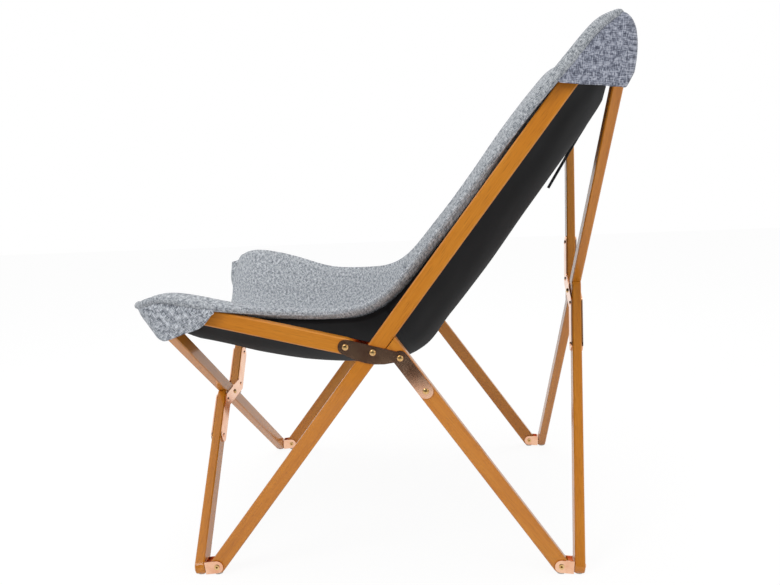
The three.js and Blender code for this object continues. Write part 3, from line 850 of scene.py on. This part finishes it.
# Posts of a pocket from its seam's lower end round the stick's tip: how far the cloth stands
# in from the pocket's face, then its top, belly and hem along and above the stick as shares of
# the stick's width. They start from the rail's top pin in front and the long stick's tip behind.
front_posts = (
    (0.002, (-2.57, 0.63), (-2.52, 0.55), (-2.47, 0.47)),
    (0.001, (-1.63, 0.58), (-1.76, -0.01), (-1.89, -0.53)),
    (0, (-0.83, 0.59), (-0.89, -0.22), (-0.94, -1.13)),
    (0, (-0.04, 0.61), (-0.17, -0.49), (-0.29, -1.56)),
    (0.001, (0.74, 0.56), (0.49, -0.61), (0.17, -1.81)),
    (0.003, (1.46, 0.42), (1.09, -0.69), (0.49, -1.75)),
    (0.008, (1.98, 0.16), (1.57, -0.7), (0.9, -1.47)),
    (0.016, (2.26, -0.08), (1.99, -0.63), (1.48, -1.06)),
    (0.032, (2.43, -0.25), (2.22, -0.68), (1.84, -1.0)),
    (0.05, (2.51, -0.34), (2.35, -0.72), (1.92, -0.95)),
)
rear_posts = (
    (0.002, (-3.92, 0.77), (-3.89, 0.62), (-3.91, 0.43)),
    (0.001, (-2.66, 0.6), (-3.08, 0.23), (-3.54, -0.21)),
    (0, (-1.57, 0.51), (-2.35, -0.17), (-3.15, -0.88)),
    (0, (-0.47, 0.44), (-1.62, -0.57), (-2.74, -1.52)),
    (0, (0.42, 0.28), (-0.95, -0.9), (-2.43, -2.09)),
    (0.001, (0.85, 0.12), (-0.3, -1.27), (-2.19, -2.45)),
    (0.004, (0.95, 0.04), (1.35, -0.85), (-2.08, -2.65)),
    (0.01, (1.02, -0.02), (1.55, -1.1), (-1.5, -2.6)),
    (0.022, (1.08, -0.06), (1.6, -1.22), (-1.0, -2.55)),
    (0.042, (1.12, -0.1), (1.52, -1.27), (-0.93, -2.53)),
    (0.06, (1.12, -0.12), (1.44, -1.3), (-0.9, -2.46)),
)
pocket_columns = 72
pocket_rows = 22
seam_tuck = 0.0095
hem_depth = 0.011
belly_out = 0.0035
seam_run = 0.14
belly_onset = 1.4
hem_groove_share = 0.7
hem_groove_width = 0.0016
pucker_depth = 0.0016
pucker_scale = 60
pucker_far_seed = 3
pucker_run = (0.15, 0.9)
pucker_peak = 1.4
hem_lines = []


def make_pocket(end, side, sense, posts, pivot, tip, origin, lift_side):
    lines = []
    for part in (1, 2, 3):
        spots = stations_on(pivot, tip, [post[part] for post in posts], lift_side, stick_width, origin)
        insets = [post[0] for post in posts]
        lines.append(smooth_curve([Vector((i, spot.x, spot.y)) for i, spot in zip(insets, spots)]))

    def cloth_at(onward, down):
        top, belly, hem = (line(onward) for line in lines)
        spot = top.lerp(belly, down).lerp(belly.lerp(hem, down), down)
        out = belly_out * math.sin(math.pi * down) * math.sin(math.pi * min(onward * belly_onset, 1))
        out -= seam_tuck * (1 - ease(0, seam_run, down))
        fall = ((top - hem).length * (1 - down) - hem_depth) / hem_groove_width
        out -= hem_groove * hem_groove_share * math.exp(-(fall**2))
        grid = Vector((spot.y * pucker_scale, spot.z * pucker_scale, sense * pucker_far_seed))
        out += noise.noise(grid) * pucker_depth * (pucker_peak - ease(*pucker_run, down))
        place = Vector((sense * (pocket_face - spot.x + out), spot.y, spot.z))
        return place, (spot.y - spot.x, spot.z)

    verts = []
    flats = []
    hem_line = []
    for column in range(pocket_columns + 1):
        onward = column / pocket_columns
        for row in range(pocket_rows + 1):
            place, flat = cloth_at(onward, row / pocket_rows)
            verts.append(place)
            flats.append(flat)
        depth = (lines[0](onward) - lines[2](onward)).length
        hem_line.append(cloth_at(onward, max(1 - hem_depth / max(depth, hem_depth), 0))[0])
    across = pocket_rows + 1
    faces = []
    for column in range(pocket_columns):
        for row in range(pocket_rows):
            a = column * across + row
            face = (a, a + 1, a + across + 1, a + across)
            faces.append(face if sense * lift_side < 0 else face[::-1])
    piece = make_piece(f"{end}_pocket_{side}", verts, faces, pocket_cloth[end], flats)
    thicken(piece, pocket_wall)
    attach(piece, "sling")
    hem_lines.append(hem_line)
    return piece


long_way = (rear_top - long_pivot).normalized()
long_tip = rear_top + long_way * long_tip_length
pocket_plans = (
    ("front", front_posts, rail_pivot, front_top, front_top, -1),
    ("rear", rear_posts, long_pivot, rear_top, long_tip, 1),
)
pockets = [
    make_pocket(end, side, sense, *plan)
    for side, sense in (("near", 1), ("far", -1))
    for end, *plan in pocket_plans
]


# Stitches: a gray thread runs in two rows along the rolled edges of the cover and in one
# row above each pocket's hem. Each stitch is a short spindle that lies on the cloth.
stitch_pitch = 0.0046
stitch_length = 0.0034
thread_radius = 0.00055
thread_sides = 6
stitch_rings = ((0.08, 0.55), (0.5, 1.0), (0.92, 0.55))
edge_rows = (8, 10)
edge_run = (0.03, 0.97)
edge_steps = 260
thread_gray = "#B9BDC3"
thread_shade = "#8D9198"
twist_scale = 900.0


def spun_thread():
    material = bpy.data.materials.new("spun_thread")
    tree = tree_of(material)
    place = add_node(tree, "ShaderNodeTexCoord")
    twist = add_node(tree, "ShaderNodeTexWave", Scale=twist_scale, Distortion=2.0)
    tone = ramp_of(tree, ((0.2, linear(thread_shade)), (0.7, linear(thread_gray))))
    shader = add_node(tree, "ShaderNodeBsdfPrincipled", Roughness=0.7)
    out = add_node(tree, "ShaderNodeOutputMaterial")
    tree.links.new(place.outputs["Object"], twist.inputs["Vector"])
    tree.links.new(twist.outputs["Fac"], tone.inputs[0])
    tree.links.new(tone.outputs[0], shader.inputs["Base Color"])
    tree.links.new(shader.outputs[0], out.inputs["Surface"])
    return material


def paced(line):
    marks = [0.0]
    for a, b in zip(line, line[1:]):
        marks.append(marks[-1] + (b - a).length)

    def at(distance):
        for index in range(len(line) - 1):
            if marks[index + 1] >= distance:
                gap = max(marks[index + 1] - marks[index], 1e-9)
                return line[index].lerp(line[index + 1], (distance - marks[index]) / gap)
        return line[-1]

    return at, marks[-1]


def sew(name, lines, material):
    verts = []
    faces = []
    for line in lines:
        at, length = paced(line)
        for index in range(int(length / stitch_pitch)):
            start = at(index * stitch_pitch)
            end = at(index * stitch_pitch + stitch_length)
            turn = Vector((0, 0, 1)).rotation_difference((end - start).normalized())
            first = len(verts)
            verts.append(start)
            for onward, girth in stitch_rings:
                for side in range(thread_sides):
                    around = 2 * math.pi * side / thread_sides
                    spoke = Vector((math.cos(around), math.sin(around), 0)) * thread_radius * girth
                    verts.append(start.lerp(end, onward) + turn @ spoke)
            verts.append(end)
            for side in range(thread_sides):
                after = (side + 1) % thread_sides
                faces.append((first, first + 1 + after, first + 1 + side))
                for ring in range(len(stitch_rings) - 1):
                    low = first + 1 + ring * thread_sides
                    high = low + thread_sides
                    faces.append((low + side, low + after, high + after, high + side))
                last = first + 1 + (len(stitch_rings) - 1) * thread_sides
                faces.append((last + side, last + after, len(verts) - 1))
    piece = make_piece(name, verts, faces, material)
    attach(piece, "sling")
    return piece


def edge_stitch_line(side, row):
    line = []
    for step in range(edge_steps + 1):
        progress = edge_run[0] + (edge_run[1] - edge_run[0]) * step / edge_steps
        share, depth, arc = cover_rounds(progress)[row - 1]
        if side < 0:
            depth -= crown(-1, progress) * (1 - depth / edge_depth(progress))
        line.append(bowl_at(side * share, progress, depth + soft_wave(share, progress)))
    return line


thread = spun_thread()
edge_lines = [edge_stitch_line(side, row) for side in (1, -1) for row in edge_rows]
stitches = [sew("edge_stitches", edge_lines, thread), sew("pocket_stitches", hem_lines, thread)]


# Lining: a smooth black backing under the whole cover, cut a little narrower than the
# cover and sewn to it along the edges, so that it hangs just below the pad.
lining_gap = 0.0008
lining_thickness = 0.0024
lining_inset_share = 0.02
lining_columns = 60
lining_black = "#121316"
lining_deep = "#0A0B0D"
lining_weave = 700.0
lining_clouds = 9.0


def lining_cloth():
    material = bpy.data.materials.new("lining_cloth")
    tree = tree_of(material)
    links = tree.links
    place = add_node(tree, "ShaderNodeUVMap", uv_map="cut")
    weave = add_node(tree, "ShaderNodeTexNoise", Scale=lining_weave, Detail=2.0)
    cloud = add_node(tree, "ShaderNodeTexNoise", Scale=lining_clouds, Detail=3.0)
    tone = ramp_of(tree, ((0.3, linear(lining_deep)), (0.7, linear(lining_black))))
    relief = add_node(tree, "ShaderNodeBump", Strength=0.15, Distance=0.0004)
    shader = add_node(tree, "ShaderNodeBsdfPrincipled", Roughness=0.7)
    shader.inputs["Specular IOR Level"].default_value = 0.1
    shader.inputs["Sheen Weight"].default_value = 0.02
    shader.inputs["Sheen Roughness"].default_value = 0.4
    out = add_node(tree, "ShaderNodeOutputMaterial")
    links.new(place.outputs[0], weave.inputs["Vector"])
    links.new(place.outputs[0], cloud.inputs["Vector"])
    links.new(cloud.outputs["Fac"], tone.inputs[0])
    links.new(tone.outputs[0], shader.inputs["Base Color"])
    links.new(weave.outputs["Fac"], relief.inputs["Height"])
    links.new(relief.outputs[0], shader.inputs["Normal"])
    links.new(shader.outputs[0], out.inputs["Surface"])
    return material


def thin_cloth(name, span, run, grid, level_at, thickness, material):
    columns, rows = grid
    verts = []
    flats = []
    for row in range(rows + 1):
        progress = run[0] + (run[1] - run[0]) * row / rows
        for column in range(columns + 1):
            share = span[0] + (span[1] - span[0]) * column / columns
            verts.append(bowl_at(share, progress, level_at(progress) + soft_wave(share, progress)))
            flats.append((share * cover_half_width, progress * cover_length))
    faces = []
    for row in range(rows):
        for column in range(columns):
            a = row * (columns + 1) + column
            faces.append((a, a + 1, a + columns + 2, a + columns + 1))
    piece = make_piece(name, verts, faces, material, flats)
    thicken(piece, thickness)
    return piece


def lining_level(progress):
    return cover_thickness + lining_gap


lining_span = (-1 + 2 * lining_inset_share, 1 - 2 * lining_inset_share)
lining_run = (lining_inset_share, 1 - lining_inset_share)
lining = thin_cloth(
    "sling_backing",
    lining_span,
    lining_run,
    (lining_columns, cover_rows),
    lining_level,
    lining_thickness,
    lining_cloth(),
)
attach(lining, "sling")
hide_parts("sling_lining")


# Strap: a short dark tab, sewn at its upper end to the back of the lining. Its lower end
# hangs free, a finger's width from the lining.
strap_half_share = 0.04
strap_run = (0.795, 0.905)
strap_gap = 0.0003
strap_stand_off = 0.013
strap_thickness = 0.0024
strap_rows = 24
strap_columns = 8
strap_curl = 1.5
strap_tones = ("#17191D", "#2C2F35", "#565A62")


def strap_level(progress):
    freed = (strap_run[1] - progress) / (strap_run[1] - strap_run[0])
    return lining_level(progress) + lining_thickness + strap_gap + strap_stand_off * freed**strap_curl


strap = thin_cloth(
    "sling_tab",
    (-strap_half_share, strap_half_share),
    strap_run,
    (strap_columns, strap_rows),
    strap_level,
    strap_thickness,
    mottled_cloth("strap_cloth", 0, strap_tones),
)
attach(strap, "sling")
strap_span = strap_run[1] - strap_run[0]
strap_steps = [strap_run[0] + strap_span * i / strap_rows for i in range(strap_rows + 1)]
strap_line = [bowl_at(0, step, strap_level(step)) for step in strap_steps]
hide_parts("sling_strap")


# Each piece of the sling gets a copy of its mesh as its own.
for piece in [quilt, *pockets, *stitches, lining, strap]:
    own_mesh(piece)
